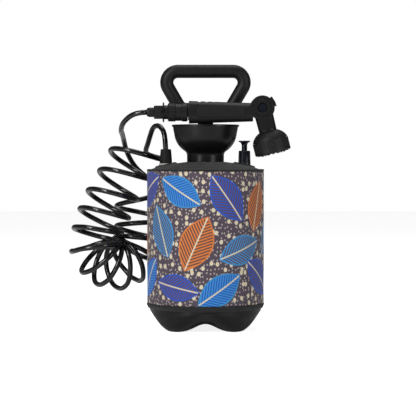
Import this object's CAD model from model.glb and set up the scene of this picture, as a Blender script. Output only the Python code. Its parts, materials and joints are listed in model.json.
"""Looks of a camp shower: a pump tank in a printed neoprene sleeve, a curly hose and a handset."""
import json
import math

import bpy
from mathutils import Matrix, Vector, noise


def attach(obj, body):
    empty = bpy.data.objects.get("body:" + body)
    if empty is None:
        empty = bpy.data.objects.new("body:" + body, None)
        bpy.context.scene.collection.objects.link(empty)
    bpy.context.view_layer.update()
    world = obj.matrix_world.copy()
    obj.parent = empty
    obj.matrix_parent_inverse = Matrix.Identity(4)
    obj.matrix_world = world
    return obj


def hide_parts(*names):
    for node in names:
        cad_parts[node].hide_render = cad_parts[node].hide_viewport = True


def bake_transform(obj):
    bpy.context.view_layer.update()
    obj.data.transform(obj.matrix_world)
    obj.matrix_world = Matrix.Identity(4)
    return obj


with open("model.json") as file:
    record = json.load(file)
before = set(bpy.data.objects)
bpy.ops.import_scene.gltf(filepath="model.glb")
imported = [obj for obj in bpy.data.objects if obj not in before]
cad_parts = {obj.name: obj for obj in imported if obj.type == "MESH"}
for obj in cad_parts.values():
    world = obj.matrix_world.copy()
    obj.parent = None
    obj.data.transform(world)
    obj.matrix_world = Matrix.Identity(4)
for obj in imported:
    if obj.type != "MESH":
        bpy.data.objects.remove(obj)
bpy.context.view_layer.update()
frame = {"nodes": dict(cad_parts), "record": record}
nodes = frame["nodes"]
scene = bpy.context.scene

FULL_TURN = 2 * math.pi
WHITE = (1, 1, 1, 1)


def new_object(name, data):
    """An object with this data, linked into the scene."""
    made = bpy.data.objects.new(name, data)
    scene.collection.objects.link(made)
    return made


def facing(start, aim):
    """The rotation of a camera or lamp that looks from start towards aim."""
    return (Vector(aim) - Vector(start)).to_track_quat("-Z", "Y").to_euler()


# Camera at the photograph's viewing angle
CAMERA_AT = (0.0039, -2.6, 0.26)
CAMERA_LOOKS_AT = (0.0039, 0.0, 0.1863)
LENS_MM = 146.0
SENSOR_MM = 36.0
camera_data = bpy.data.cameras.new("camera")
camera_data.lens = LENS_MM
camera_data.sensor_width = SENSOR_MM
camera = new_object("camera", camera_data)
camera.location = CAMERA_AT
camera.rotation_euler = facing(CAMERA_AT, CAMERA_LOOKS_AT)
scene.camera = camera

# Sockets of a Mix node that is set to colour, which share their names with its other sockets
MIX_SHARE, MIX_FIRST, MIX_SECOND, MIX_RESULT = 0, 6, 7, 2


class Nodes:
    """A material's node tree, with short calls for the nodes that these materials use."""

    def __init__(self, name):
        self.material = bpy.data.materials.new(name)
        self.material.use_nodes = True
        self.tree = self.material.node_tree
        self.shader = self.tree.nodes["Principled BSDF"]

    def add(self, kind, **values):
        """A new node, with each value set on its input or setting of that name."""
        node = self.tree.nodes.new(kind)
        for key, value in values.items():
            if key in node.inputs:
                node.inputs[key].default_value = value
            else:
                setattr(node, key, value)
        return node

    def link(self, source, target):
        self.tree.links.new(source, target)

    def put(self, value, socket):
        """Link an output socket to this socket, or set a plain value on it."""
        if isinstance(value, bpy.types.NodeSocket):
            self.link(value, socket)
        else:
            socket.default_value = value

    def surface(self, name, value):
        """Link or set one input of the surface shader."""
        self.put(value, self.shader.inputs[name])

    def math(self, operation, first, second=0.0):
        node = self.add("ShaderNodeMath", operation=operation)
        self.put(first, node.inputs[0])
        self.put(second, node.inputs[1])
        return node.outputs[0]

    def noise(self, scale, detail=3.0):
        place = self.add("ShaderNodeTexCoord")
        node = self.add("ShaderNodeTexNoise", Scale=scale, Detail=detail)
        self.link(place.outputs["Object"], node.inputs["Vector"])
        return node.outputs["Fac"]

    def spread(self, value, low, high):
        """A value from 0 to 1 taken to the range from low to high."""
        node = self.add("ShaderNodeMapRange")
        self.put(value, node.inputs["Value"])
        node.inputs["To Min"].default_value = low
        node.inputs["To Max"].default_value = high
        return node.outputs["Result"]

    def mix(self, share, first, second):
        """The first colour where share is 0, the second where it is 1."""
        node = self.add("ShaderNodeMix", data_type="RGBA")
        self.put(share, node.inputs[MIX_SHARE])
        self.put(first, node.inputs[MIX_FIRST])
        self.put(second, node.inputs[MIX_SECOND])
        return node.outputs[MIX_RESULT]

    def bump(self, height, strength, distance):
        node = self.add("ShaderNodeBump", Strength=strength, Distance=distance)
        self.link(height, node.inputs["Height"])
        self.link(node.outputs["Normal"], self.shader.inputs["Normal"])


# Moulded surfaces: how their colour, gloss and grain vary
PALER_BY, PALER_STEP = 1.35, 0.0015
PALER_SCALE = 90.0
GLOSS_SCALE, GLOSS_DETAIL = 38.0, 5.0
SMOOTHEST, ROUGHEST = 0.8, 1.25
GRAIN_STRENGTH = 0.5


def moulded(name, colour, roughness, grain, depth, metallic=0.0, coat=0.0, shine=0.5):
    """Moulded plastic, rubber or metal with a fine grain and slightly uneven colour and gloss."""
    n = Nodes(name)
    paler = [min(1.0, channel * PALER_BY + PALER_STEP) for channel in colour]
    n.surface("Base Color", n.mix(n.noise(PALER_SCALE), (*colour, 1), (*paler, 1)))
    gloss = n.noise(GLOSS_SCALE, GLOSS_DETAIL)
    n.surface("Roughness", n.spread(gloss, roughness * SMOOTHEST, roughness * ROUGHEST))
    n.surface("Metallic", metallic)
    n.surface("Coat Weight", coat)
    n.surface("Specular IOR Level", shine)
    n.bump(n.noise(grain), GRAIN_STRENGTH, depth)
    return n.material


# For each moulded slot: colour, roughness, scale of the grain, depth of the grain in metres,
# and what else differs from plain plastic
DULL = {"shine": 0.32}
METAL = {"metallic": 1.0}
MOULDED = {
    "tank_black": ((0.0045, 0.0045, 0.005), 0.3, 900.0, 0.00003, DULL),
    "handle_black": ((0.005, 0.005, 0.0055), 0.46, 2200.0, 0.00009, DULL),
    "handset_black": ((0.005, 0.005, 0.0055), 0.42, 2400.0, 0.00007, DULL),
    "soft_black": ((0.004, 0.004, 0.0045), 0.62, 1800.0, 0.0001, DULL),
    "dial_black": ((0.007, 0.007, 0.0075), 0.5, 2000.0, 0.00008, DULL),
    "valve_black": ((0.003, 0.005, 0.012), 0.26, 1200.0, 0.00003, {}),
    "hose_black": ((0.0035, 0.0035, 0.004), 0.16, 700.0, 0.00004, {"coat": 0.3}),
    "seal_black": ((0.01, 0.01, 0.01), 0.7, 1500.0, 0.00004, {}),
    "pale_plastic": ((0.55, 0.54, 0.5), 0.4, 1500.0, 0.00004, {}),
    "nozzle_grey": ((0.2, 0.2, 0.21), 0.5, 1500.0, 0.00004, {}),
    "clear_tube": ((0.5, 0.52, 0.52), 0.25, 800.0, 0.00004, {}),
    "spring_steel": ((0.55, 0.55, 0.56), 0.28, 1500.0, 0.00004, METAL),
    "brass_fitting": ((0.55, 0.4, 0.18), 0.3, 1500.0, 0.00004, METAL),
}
slots = {name: moulded(name, *look, **extra) for name, (*look, extra) in MOULDED.items()}

# Neoprene: loops of its knit face round the tank, and up it in radians a metre
KNIT_ROUND, KNIT_UP = 620.0, 5600.0
KNIT_STRENGTH, KNIT_DEPTH = 0.55, 0.00016
SHEEN_WEIGHT, SHEEN_ROUGHNESS = 0.15, 0.5
CLOTH_GLOSS_SCALE = 60.0
PLAIN_CLOTH = (0.005, 0.005, 0.006, 1)
PLAIN_CLOTH_PALER = (0.009, 0.009, 0.01, 1)
PLAIN_CLOTH_SCALE = 120.0


def knit(n):
    """The fine knit face of neoprene, in cylinder coordinates round the tank."""
    place = n.add("ShaderNodeTexCoord")
    parts = n.add("ShaderNodeSeparateXYZ")
    n.link(place.outputs["Object"], parts.inputs[0])
    angle = n.math("ARCTAN2", parts.outputs["Y"], parts.outputs["X"])
    height = parts.outputs["Z"]
    across = n.math("SINE", n.math("MULTIPLY", angle, KNIT_ROUND))
    along = n.math("SINE", n.math("MULTIPLY", height, KNIT_UP))
    n.bump(n.math("MULTIPLY", across, along), KNIT_STRENGTH, KNIT_DEPTH)
    n.surface("Sheen Weight", SHEEN_WEIGHT)
    n.surface("Sheen Roughness", SHEEN_ROUGHNESS)
    return angle, height


def plain_neoprene():
    """The black neoprene of the shoulder, the bindings and the back seam."""
    n = Nodes("black_neoprene")
    knit(n)
    n.surface("Base Color", n.mix(n.noise(PLAIN_CLOTH_SCALE), PLAIN_CLOTH, PLAIN_CLOTH_PALER))
    n.surface("Roughness", n.spread(n.noise(CLOTH_GLOSS_SCALE), 0.6, 0.8))
    return n.material


# Print: lengths in metres round the sleeve from its front, and up from the print's middle line
SLEEVE_RADIUS = 0.09
FRONT_ANGLE = -math.pi / 2
PRINT_MIDDLE = 0.143
GROUND = (0.068, 0.058, 0.095, 1)
ROYAL = (0.004, 0.09, 0.58, 1)
SKY = (0.03, 0.3, 0.68, 1)
ORANGE = (0.8, 0.22, 0.035, 1)
CREAM = (0.8, 0.7, 0.5, 1)
UMBER = (0.11, 0.05, 0.045, 1)
STONE = (0.5, 0.42, 0.4, 1)
GROUND_SCALE = 35.0
UMBER_SHARE = 0.5
# Flecks: the size of their cells, their radius as a share of that, and a shift round the sleeve
SMALL_FLECKS = (0.0055, 0.2, 0.0)
LARGE_FLECKS = (0.0125, 0.22, 0.31)
FLECK_STRETCH = 0.8
FLECK_UNEVENNESS = 0.75
# Leaves: how their ribs slant, the level of a wave above which a rib shows, half the width of
# the vein, and the width of the rim
RIB_SLANT = -0.9
RIB_LEVEL = 0.1
VEIN_HALF = 0.0011
RIM_WIDTH = 0.0022
# Each leaf: its middle round and up the sleeve, length, width, turn in radians, colour, colour
# of the ribs, and how far apart the ribs lie
LEAVES = [
    (-0.118, 0.072, 0.088, 0.050, 0.5, ROYAL, UMBER, 0.0052),
    (-0.074, 0.010, 0.084, 0.046, 1.9, SKY, UMBER, 0.0048),
    (-0.112, -0.062, 0.080, 0.044, 0.9, ROYAL, SKY, 0.0052),
    (-0.040, 0.070, 0.078, 0.044, -0.55, SKY, ROYAL, 0.0050),
    (-0.014, -0.008, 0.090, 0.052, 1.15, ORANGE, UMBER, 0.0056),
    (-0.046, -0.074, 0.076, 0.040, -0.2, ROYAL, UMBER, 0.0048),
    (0.034, 0.060, 0.086, 0.048, 2.2, ROYAL, UMBER, 0.0052),
    (0.058, -0.018, 0.080, 0.044, 0.35, SKY, UMBER, 0.0050),
    (0.022, -0.078, 0.082, 0.044, 0.6, SKY, ROYAL, 0.0050),
    (0.094, 0.048, 0.080, 0.044, 1.3, ORANGE, UMBER, 0.0054),
    (0.104, -0.060, 0.086, 0.048, 2.5, ROYAL, UMBER, 0.0052),
    (0.140, 0.004, 0.084, 0.046, 0.8, SKY, UMBER, 0.0050),
    (-0.150, 0.004, 0.080, 0.044, 2.4, ORANGE, UMBER, 0.0054),
    (0.176, 0.066, 0.080, 0.044, 2.0, ROYAL, UMBER, 0.0052),
    (0.184, -0.066, 0.080, 0.044, 0.3, SKY, ROYAL, 0.0050),
    (0.222, 0.006, 0.084, 0.046, 1.5, ROYAL, UMBER, 0.0052),
    (0.262, 0.070, 0.082, 0.044, 0.7, SKY, UMBER, 0.0048),
    (0.268, -0.060, 0.082, 0.044, 2.3, ORANGE, UMBER, 0.0054),
    (0.306, 0.008, 0.084, 0.046, 0.2, ROYAL, SKY, 0.0052),
    (0.346, 0.070, 0.080, 0.044, 1.7, ORANGE, UMBER, 0.0054),
    (0.356, -0.064, 0.082, 0.044, 1.0, ROYAL, UMBER, 0.0050),
    (0.394, 0.004, 0.080, 0.044, 2.6, SKY, UMBER, 0.0050),
]


def flecks(n, around, up, cell, size, shift):
    """1 inside small round spots that lie unevenly over the sleeve, and 0 outside."""
    point = n.add("ShaderNodeCombineXYZ")
    n.link(n.math("ADD", around, shift), point.inputs[0])
    n.link(n.math("MULTIPLY", up, FLECK_STRETCH), point.inputs[1])
    cells = n.add("ShaderNodeTexVoronoi", Scale=1.0 / cell, Randomness=FLECK_UNEVENNESS)
    cells.voronoi_dimensions = "2D"
    n.link(point.outputs[0], cells.inputs["Vector"])
    return n.math("LESS_THAN", cells.outputs["Distance"], size)


def with_leaf(n, around, up, colour, leaf):
    """The colour so far, with one pointed leaf with slanting ribs laid over it."""
    centre_around, centre_up, length, width, turn, base, stripe, ribs = leaf
    away = n.math("SUBTRACT", around, centre_around)
    above = n.math("SUBTRACT", up, centre_up)
    cosine, sine = math.cos(turn), math.sin(turn)
    lengthwise = n.math(
        "ADD", n.math("MULTIPLY", away, cosine), n.math("MULTIPLY", above, sine)
    )
    crosswise = n.math(
        "SUBTRACT", n.math("MULTIPLY", above, cosine), n.math("MULTIPLY", away, sine)
    )
    share = n.math("DIVIDE", lengthwise, length / 2)
    edge = n.math("SUBTRACT", 1.0, n.math("MULTIPLY", share, share))
    half = n.math("MULTIPLY", edge, width / 2)
    off_middle = n.math("ABSOLUTE", crosswise)
    inside = n.math("LESS_THAN", off_middle, half)
    slanted = n.math("ADD", lengthwise, n.math("MULTIPLY", off_middle, RIB_SLANT))
    wave = n.math("SINE", n.math("MULTIPLY", slanted, FULL_TURN / ribs))
    ribbed = n.math("GREATER_THAN", wave, RIB_LEVEL)
    vein = n.math("LESS_THAN", off_middle, VEIN_HALF)
    rim = n.math("GREATER_THAN", n.math("ADD", off_middle, RIM_WIDTH), half)
    filling = n.mix(ribbed, base, stripe)
    filling = n.mix(vein, filling, CREAM)
    filling = n.mix(rim, filling, base)
    return n.mix(inside, colour, filling)


def printed_neoprene():
    """A generic print of striped leaf shapes and small flecks over a slate ground."""
    n = Nodes("printed_neoprene")
    angle, height = knit(n)
    around = n.math("MULTIPLY", n.math("SUBTRACT", angle, FRONT_ANGLE), SLEEVE_RADIUS)
    up = n.math("SUBTRACT", height, PRINT_MIDDLE)
    colour = n.mix(n.spread(n.noise(GROUND_SCALE), 0.0, UMBER_SHARE), GROUND, UMBER)
    colour = n.mix(flecks(n, around, up, *SMALL_FLECKS), colour, STONE)
    colour = n.mix(flecks(n, around, up, *LARGE_FLECKS), colour, CREAM)
    for leaf in LEAVES:
        colour = with_leaf(n, around, up, colour, leaf)
    n.surface("Base Color", colour)
    n.surface("Roughness", n.spread(n.noise(CLOTH_GLOSS_SCALE), 0.5, 0.66))
    return n.material


slots["black_neoprene"] = plain_neoprene()
slots["printed_neoprene"] = printed_neoprene()
slot_of = {entry["node"]: entry["material_slot"] for entry in frame["record"]["subparts"]}
for name, node in nodes.items():
    node.data.materials.clear()
    node.data.materials.append(slots[slot_of[name]])

NURBS_ORDER = 3


def smooth_line(name, points, resolution):
    """The points of a NURBS line that runs from the first control point to the last."""
    curve = bpy.data.curves.new(name, "CURVE")
    curve.dimensions = "3D"
    curve.resolution_u = resolution
    spline = curve.splines.new("NURBS")
    spline.points.add(len(points) - 1)
    for control, place in zip(spline.points, points):
        control.co = (*place, 1.0)
    spline.order_u = NURBS_ORDER
    spline.use_endpoint_u = True
    holder = new_object(name, curve)
    bpy.context.view_layer.update()
    mesh = bpy.data.meshes.new_from_object(holder)
    line = [vertex.co.copy() for vertex in mesh.vertices]
    bpy.data.meshes.remove(mesh)
    bpy.data.objects.remove(holder)
    bpy.data.curves.remove(curve)
    return line


def direction(line, index):
    """The unit direction of a line of points at one of them."""
    return (line[min(index + 1, len(line) - 1)] - line[max(index - 1, 0)]).normalized()


def ring_round(place, side, other, radius, sides):
    """Points on a circle round a place, in the plane of two unit vectors."""
    turns = [FULL_TURN * step / sides for step in range(sides)]
    return [place + radius * (side * math.cos(turn) + other * math.sin(turn)) for turn in turns]


def bar_faces(base, rings, sides):
    """Faces of a bar whose rings of points start at base: its skin, then its two flat ends."""
    faces = []
    for ring in range(rings - 1):
        first, second = base + ring * sides, base + (ring + 1) * sides
        for step in range(sides):
            after = (step + 1) % sides
            faces.append((first + step, first + after, second + after, second + step))
    faces.append(tuple(reversed(range(base, base + sides))))
    faces.append(tuple(range(base + (rings - 1) * sides, base + rings * sides)))
    return faces


def smooth_piece(name, vertices, faces, material):
    """A smooth shaded piece of one material."""
    mesh = bpy.data.meshes.new(name)
    mesh.from_pydata(vertices, [], faces)
    mesh.materials.append(material)
    mesh.shade_smooth()
    return new_object(name, mesh)


def tube(name, line, radius, sides, material):
    """A closed round tube along a line of points, without twist from one ring to the next."""
    vertices = []
    side = direction(line, 0).orthogonal().normalized()
    for index, place in enumerate(line):
        ahead = direction(line, index)
        side = (side - ahead * side.dot(ahead)).normalized()
        vertices += ring_round(place, side, ahead.cross(side), radius, sides)
    return smooth_piece(name, vertices, bar_faces(0, len(line), sides), material)


# Hose: control points of the coil's centre line and of the two tails, in metres
HOSE_RADIUS = 0.004
HOSE_SIDES = 16
HOSE_RESOLUTION = 4
AXIS_RESOLUTION = 24
COIL_AXIS = [
    (-0.104, 0.055, 0.277),
    (-0.184, 0.030, 0.148),
    (-0.156, 0.046, 0.088),
    (-0.098, 0.098, 0.108),
    (-0.106, 0.094, 0.222),
]
OUTLET_TAIL = [
    (-0.061, 0.0, 0.26002),
    (-0.061, 0.0, 0.297),
    (-0.0695, 0.013, 0.3135),
    (-0.081, 0.031, 0.3135),
    (-0.087, 0.044, 0.2975),
    (-0.091, 0.058, 0.285),
    (-0.095, 0.073, 0.276),
    (-0.094, 0.086, 0.270),
    (-0.086, 0.094, 0.267),
    (-0.076, 0.091, 0.264),
    (-0.067, 0.080, 0.262),
]
COUPLER_TAIL = [
    (-0.0889, -0.042, 0.3325),
    (-0.107, -0.042, 0.3325),
    (-0.126, -0.024, 0.318),
    (-0.131, 0.012, 0.306),
    (-0.131, 0.052, 0.302),
    (-0.131, 0.084, 0.297),
    (-0.127, 0.102, 0.274),
    (-0.116, 0.114, 0.252),
    (-0.101, 0.124, 0.237),
    (-0.084, 0.124, 0.226),
]
# The coil's turns: their radius and how it swings, and how far the upper ones lean down
TURN_RADIUS = 0.0383
RADIUS_SWING = 0.02
SWING_RATE = 2.3
POINTS_PER_TURN = 16
FIRST_TURN = 0.46
LAST_TURN = 14.08
LEAN = 0.45
LEAN_ENDS_AT = 0.35
# The share of the centre line's length at which each turn starts, from a little before the line
# to a little past it: the fan's turns are close and uneven
TURN_MARKS = [-0.04, 0.050, 0.150, 0.245, 0.325, 0.395, 0.455, 0.502, 0.545, 0.600]
TURN_MARKS += [0.655, 0.710, 0.775, 0.850, 0.965, 1.060]

axis = smooth_line("coil_axis", COIL_AXIS, AXIS_RESOLUTION)
reach = [0.0]
for before, after in zip(axis, axis[1:]):
    reach.append(reach[-1] + (after - before).length)
axis_length = reach[-1]


def along_axis(distance):
    """Place and direction at a distance along the coil's centre line."""
    distance = min(max(distance, 0.0), axis_length)
    index = 0
    while index < len(reach) - 2 and reach[index + 1] < distance:
        index += 1
    span = reach[index + 1] - reach[index]
    share = (distance - reach[index]) / span
    place = axis[index].lerp(axis[index + 1], share)
    low, high = max(index - 2, 0), min(index + 3, len(axis) - 1)
    return place, (axis[high] - axis[low]).normalized()


def mark_at(turn):
    """The share of the centre line's length at a turn, which need not be a whole number."""
    index = min(int(turn), len(TURN_MARKS) - 2)
    share = turn - index
    return TURN_MARKS[index] + (TURN_MARKS[index + 1] - TURN_MARKS[index]) * share


def coil_point(turn):
    """The coil's point at a turn, on a circle across its centre line."""
    share = mark_at(turn)
    place, ahead = along_axis(share * axis_length)
    lean = max(0.0, LEAN * (1 - share / LEAN_ENDS_AT))
    ahead = (ahead + Vector((0, 0, -lean))).normalized()
    front = Vector((0, -1, 0))
    front = (front - ahead * front.dot(ahead)).normalized()
    outward = ahead.cross(front)
    phase = FULL_TURN * turn
    radius = TURN_RADIUS * (1 + RADIUS_SWING * math.sin(SWING_RATE * turn))
    return place + radius * (outward * math.cos(phase) - front * math.sin(phase))


steps = int((LAST_TURN - FIRST_TURN) * POINTS_PER_TURN)
coil = [coil_point(FIRST_TURN + step / POINTS_PER_TURN) for step in range(steps + 1)]
route = [Vector(p) for p in OUTLET_TAIL] + coil + [Vector(p) for p in reversed(COUPLER_TAIL)]
hose_line = smooth_line("hose_line", route, HOSE_RESOLUTION)
hose = tube("hose", hose_line, HOSE_RADIUS, HOSE_SIDES, slots["hose_black"])
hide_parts("hose_coil", "hose_outlet_tail", "hose_coupler_tail")
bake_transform(hose)

# Sleeve: each neoprene piece is remeshed from its solid, then given the cloth's own unevenness.
# Heights and lengths in metres; each scale says how many swells a metre holds, and each count
# how many puckers go round
SMOOTHINGS = 2
CLOTH_SINK = 0.0001
PANEL_BOTTOM = 0.041
PANEL_TOP = 0.2432
LONG_SWELL, LONG_SWELL_SCALE = 0.00035, 22
SHORT_SWELL, SHORT_SWELL_SCALE = 0.00012, 70
PUCKER, PUCKER_COUNT, PUCKER_REACH = 0.00022, 46, 0.006
PUCKER_WANDER, PUCKER_WANDER_SCALE = 3, 30
BINDING_GRAIN, BINDING_GRAIN_SCALE = 0.00018, 240
BINDING_WAVE, BINDING_WAVE_COUNT = 0.00012, 150
GATHER, GATHER_COUNT, GATHER_REACH = 0.0003, 18, 0.006
SHOULDER_SWELL, SHOULDER_SWELL_SCALE = 0.0003, 45
# Where the shoulder is gathered: the throat and the two valves, each with its middle and radius
GATHERS = [(0.0, 0.0, 0.030), (-0.061, 0.0, 0.012), (0.060, 0.0, 0.012)]


def soft_copy(node, name, voxel, move):
    """A finer copy of a CAD solid whose points move along their normals by move(place)."""
    rough = new_object(name + "_rough", nodes[node].data.copy())
    remesh = rough.modifiers.new("remesh", "REMESH")
    remesh.mode = "VOXEL"
    remesh.voxel_size = voxel
    smooth = rough.modifiers.new("smooth", "SMOOTH")
    smooth.iterations = SMOOTHINGS
    bpy.context.view_layer.update()
    evaluated = rough.evaluated_get(bpy.context.evaluated_depsgraph_get())
    mesh = bpy.data.meshes.new_from_object(evaluated)
    bpy.data.objects.remove(rough)
    normals = [vertex.normal.copy() for vertex in mesh.vertices]
    for vertex, normal in zip(mesh.vertices, normals):
        vertex.co += normal * move(vertex.co)
    mesh.materials.clear()
    mesh.materials.append(slots[slot_of[node]])
    mesh.shade_smooth()
    piece = new_object(name, mesh)
    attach(piece, "tank_body")
    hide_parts(node)
    return piece


def panel_unevenness(place):
    """Long soft swells over the panel, and small puckers where it is sewn to its bindings."""
    swell = LONG_SWELL * noise.noise(place * LONG_SWELL_SCALE)
    swell += SHORT_SWELL * noise.noise(place * SHORT_SWELL_SCALE)
    angle = math.atan2(place.y, place.x)
    from_edge = min(place.z - PANEL_BOTTOM, PANEL_TOP - place.z)
    wander = PUCKER_WANDER * noise.noise(place * PUCKER_WANDER_SCALE)
    pucker = PUCKER * math.sin(PUCKER_COUNT * angle + wander) * math.exp(-from_edge / PUCKER_REACH)
    return swell + pucker - CLOTH_SINK


def binding_unevenness(place):
    """A fine grain, and short waves where the thread pulls."""
    angle = math.atan2(place.y, place.x)
    grain = BINDING_GRAIN * noise.noise(place * BINDING_GRAIN_SCALE)
    return grain + BINDING_WAVE * math.sin(BINDING_WAVE_COUNT * angle)


def shoulder_unevenness(place):
    """Radial puckers towards the throat and the two valves, and a soft swell."""
    pucker = 0.0
    for x, y, radius in GATHERS:
        away = math.hypot(place.x - x, place.y - y) - radius
        turn = math.atan2(place.y - y, place.x - x)
        pucker += GATHER * math.sin(GATHER_COUNT * turn) * math.exp(-max(away, 0.0) / GATHER_REACH)
    return pucker + SHOULDER_SWELL * noise.noise(place * SHOULDER_SWELL_SCALE) - CLOTH_SINK


panel = soft_copy("sleeve_panel", "sleeve_cloth", 0.0016, panel_unevenness)
soft_copy("sleeve_shoulder", "shoulder_cloth", 0.0012, shoulder_unevenness)
top_binding = soft_copy("sleeve_top_binding", "top_binding", 0.0008, binding_unevenness)
bottom_binding = soft_copy("sleeve_bottom_binding", "bottom_binding", 0.001, binding_unevenness)
back_seam = soft_copy("sleeve_back_seam", "back_seam", 0.0007, binding_unevenness)

# Stitches in the two bindings: radius of their rings, heights of those, and the thread
STITCHED_AT = 0.0903
STITCH_HEIGHTS = (0.0385, 0.2446)
STITCH_COUNT = 150
STITCH_SHARE = 0.78
STITCH_SIDES = 6
THREAD_RADIUS = 0.00035
THREAD_END_SHARE = 0.55
# A stitch's four points: how far along it they lie, and how far off the cloth
STITCH_PARTS = (0.0, 0.25, 0.75, 1.0)
STITCH_LIFTS = (-0.0002, 0.0001, 0.0001, -0.0002)


def stitch_rings(radius, heights, count, share):
    """The points of stitches laid end to end, in a ring round the tank at each height."""
    paths = []
    for height in heights:
        for index in range(count):
            path = []
            for part, lift in zip(STITCH_PARTS, STITCH_LIFTS):
                turn = (index + share * part) * FULL_TURN / count
                x, y = (radius + lift) * math.cos(turn), (radius + lift) * math.sin(turn)
                path.append(Vector((x, y, height)))
            paths.append(path)
    return paths


def stitches(name, paths, radius, material):
    """Short rounded stitches, one along each path of points, thinner at its ends."""
    vertices, faces = [], []
    for path in paths:
        faces += bar_faces(len(vertices), len(path), STITCH_SIDES)
        for index, place in enumerate(path):
            ahead = direction(path, index)
            side = ahead.orthogonal().normalized()
            girth = radius if 0 < index < len(path) - 1 else radius * THREAD_END_SHARE
            vertices += ring_round(place, side, ahead.cross(side), girth, STITCH_SIDES)
    piece = smooth_piece(name, vertices, faces, material)
    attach(piece, "tank_body")
    return piece


thread = moulded("thread_black", (0.016, 0.016, 0.018), 0.6, 6000.0, 0.0001)
hem_paths = stitch_rings(STITCHED_AT, STITCH_HEIGHTS, STITCH_COUNT, STITCH_SHARE)
hem_stitches = stitches("hem_stitches", hem_paths, THREAD_RADIUS, thread)

# Floor: white to the camera, and it keeps the object's shadow
FLOOR_HALF = 6.0
FLOOR_TOP = -0.0002
FLOOR_COLOUR = (0.9, 0.9, 0.9, 1)
FLOOR_ROUGHNESS = 0.9
FLOOR_GLOW = 0.85
FLOOR_CORNERS = [(-1, -1), (1, -1), (1, 1), (-1, 1)]
floor_mesh = bpy.data.meshes.new("floor")
floor_mesh.from_pydata(
    [(x * FLOOR_HALF, y * FLOOR_HALF, FLOOR_TOP) for x, y in FLOOR_CORNERS], [], [(0, 1, 2, 3)]
)
floor = new_object("floor", floor_mesh)
floor_nodes = Nodes("floor_white")
floor_nodes.surface("Base Color", FLOOR_COLOUR)
floor_nodes.surface("Roughness", FLOOR_ROUGHNESS)
floor_nodes.surface("Emission Color", WHITE)
floor_rays = floor_nodes.add("ShaderNodeLightPath")
floor_glow = floor_nodes.math("MULTIPLY", floor_rays.outputs["Is Camera Ray"], FLOOR_GLOW)
floor_nodes.surface("Emission Strength", floor_glow)
floor_mesh.materials.append(floor_nodes.material)

# Lamps, all aimed at one point: name, place, width and height in metres, and power in watts
LAMPS_AIM_AT = (0.0, 0.0, 0.2)
LAMPS = [
    ("key", (-1.3, -1.7, 1.5), (0.9, 1.1), 24),
    ("fill", (1.7, -1.5, 0.8), (0.8, 1.3), 13),
    ("top", (0.0, 0.3, 2.0), (1.4, 1.4), 14),
    ("strip_left", (-0.9, -1.2, 0.45), (0.1, 1.0), 4),
]
for name, place, size, power in LAMPS:
    lamp_data = bpy.data.lights.new(name, "AREA")
    lamp_data.shape = "RECTANGLE"
    lamp_data.size, lamp_data.size_y = size
    lamp_data.energy = power
    lamp = new_object(name, lamp_data)
    lamp.location = place
    lamp.rotation_euler = facing(place, LAMPS_AIM_AT)

# World: a weak light on the object, and white to the camera
WORLD_LIGHT = 0.1
WORLD_SEEN = 1.0
world = bpy.data.worlds.new("world")
world.use_nodes = True
scene.world = world
tree = world.node_tree
lighting = tree.nodes["Background"]
seen = tree.nodes.new("ShaderNodeBackground")
for node, strength in ((lighting, WORLD_LIGHT), (seen, WORLD_SEEN)):
    node.inputs["Color"].default_value = WHITE
    node.inputs["Strength"].default_value = strength
rays = tree.nodes.new("ShaderNodeLightPath")
blend = tree.nodes.new("ShaderNodeMixShader")
tree.links.new(rays.outputs["Is Camera Ray"], blend.inputs[0])
tree.links.new(lighting.outputs[0], blend.inputs[1])
tree.links.new(seen.outputs[0], blend.inputs[2])
tree.links.new(blend.outputs[0], tree.nodes["World Output"].inputs[0])
scene.view_settings.view_transform = "Standard"
